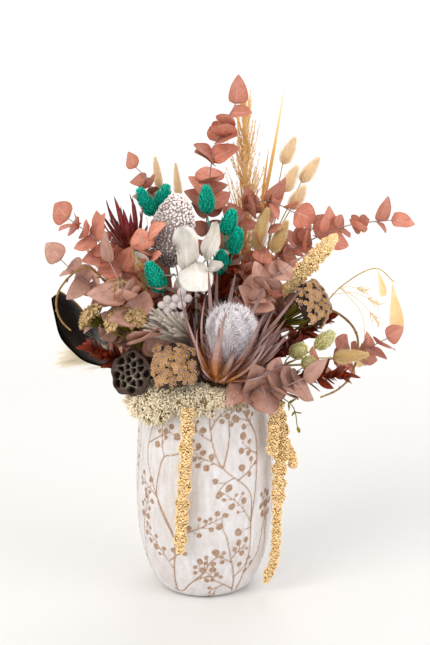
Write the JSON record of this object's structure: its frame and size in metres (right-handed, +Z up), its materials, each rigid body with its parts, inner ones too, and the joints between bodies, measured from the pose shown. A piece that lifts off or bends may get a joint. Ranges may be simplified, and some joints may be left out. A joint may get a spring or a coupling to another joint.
{
  "type": "dried flower arrangement in ceramic vase",
  "caption": "Dried flower arrangement: seed heads, leafy sprays, grasses and hanging flower ropes stand in dry foam inside a tall rounded ceramic vase with moss over its rim.",
  "frame": {"origin": "centre of the vase's foot, on the plane it stands on", "axes": "+Z up the vase's axis; -Y is the front that the arrangement is composed for"},
  "size_m": [0.4316, 0.3444, 0.6049],
  "materials": {
    "glazed_clay": "matte",
    "foam": "matte",
    "eucalyptus": "matte",
    "mauve_leaf": "matte",
    "red_leaf": "matte",
    "teal": "matte",
    "green_seed": "matte",
    "cream_fluff": "matte",
    "straw": "matte",
    "gold_bead": "matte",
    "grey_banksia": "matte",
    "grey_bract": "matte",
    "red_bract": "matte",
    "silver_bud": "matte",
    "yarrow": "matte",
    "tan_flower": "matte",
    "lotus_pod": "matte",
    "black_spathe": "satin",
    "bleached_leaf": "matte",
    "papery_pod": "matte",
    "willow": "matte",
    "moss": "matte",
    "grey_moss": "matte",
    "green_leaf": "matte"
  },
  "bodies": {
    "root": {"amaranth_front": "gold_bead", "amaranth_right": "gold_bead", "banksia": "grey_banksia", "black_spathe": "black_spathe", "bleached_leaves": "bleached_leaf", "brunia": "silver_bud", "bunny_tail_low_right": "cream_fluff", "bunny_tails_left": "cream_fluff", "bunny_tails_middle": "cream_fluff", "bunny_tails_right": "cream_fluff", "cream_spear_left": "cream_fluff", "dry_foam": "foam", "eucalyptus_back_left": "eucalyptus", "eucalyptus_back_low": "mauve_leaf", "eucalyptus_back_right": "eucalyptus", "eucalyptus_centre": "mauve_leaf", "eucalyptus_front": "mauve_leaf", "eucalyptus_left": "eucalyptus", "eucalyptus_long_right": "eucalyptus", "eucalyptus_low_left": "mauve_leaf", "eucalyptus_low_right": "eucalyptus", "eucalyptus_mauve": "mauve_leaf", "eucalyptus_small": "eucalyptus", "eucalyptus_top": "eucalyptus", "eucalyptus_upper_right": "eucalyptus", "grass_blades": "straw", "green_canary_grass": "green_seed", "green_sprig": "green_leaf", "grey_protea": "grey_bract", "lotus_pod": "lotus_pod", "millet": "gold_bead", "moss_back": "moss", "moss_front": "moss", "moss_left": "moss", "moss_right": "grey_moss", "pampas_back": "cream_fluff", "pampas_left": "cream_fluff", "papery_branch": "papery_pod", "red_leaves_back": "red_leaf", "red_leaves_centre": "red_leaf", "red_leaves_far_right": "red_leaf", "red_leaves_left": "red_leaf", "red_leaves_right": "red_leaf", "red_protea": "red_bract", "reed_plume": "straw", "tan_flower_fans": "tan_flower", "tan_spear_left": "cream_fluff", "teal_canary_grass_left": "teal", "teal_canary_grass_low": "teal", "teal_canary_grass_right": "teal", "vase": "glazed_clay", "willow_left": "willow", "willow_right": "willow", "yarrow_back": "yarrow", "yarrow_front": "yarrow", "yarrow_right": "yarrow"}
  },
  "joints": []
}
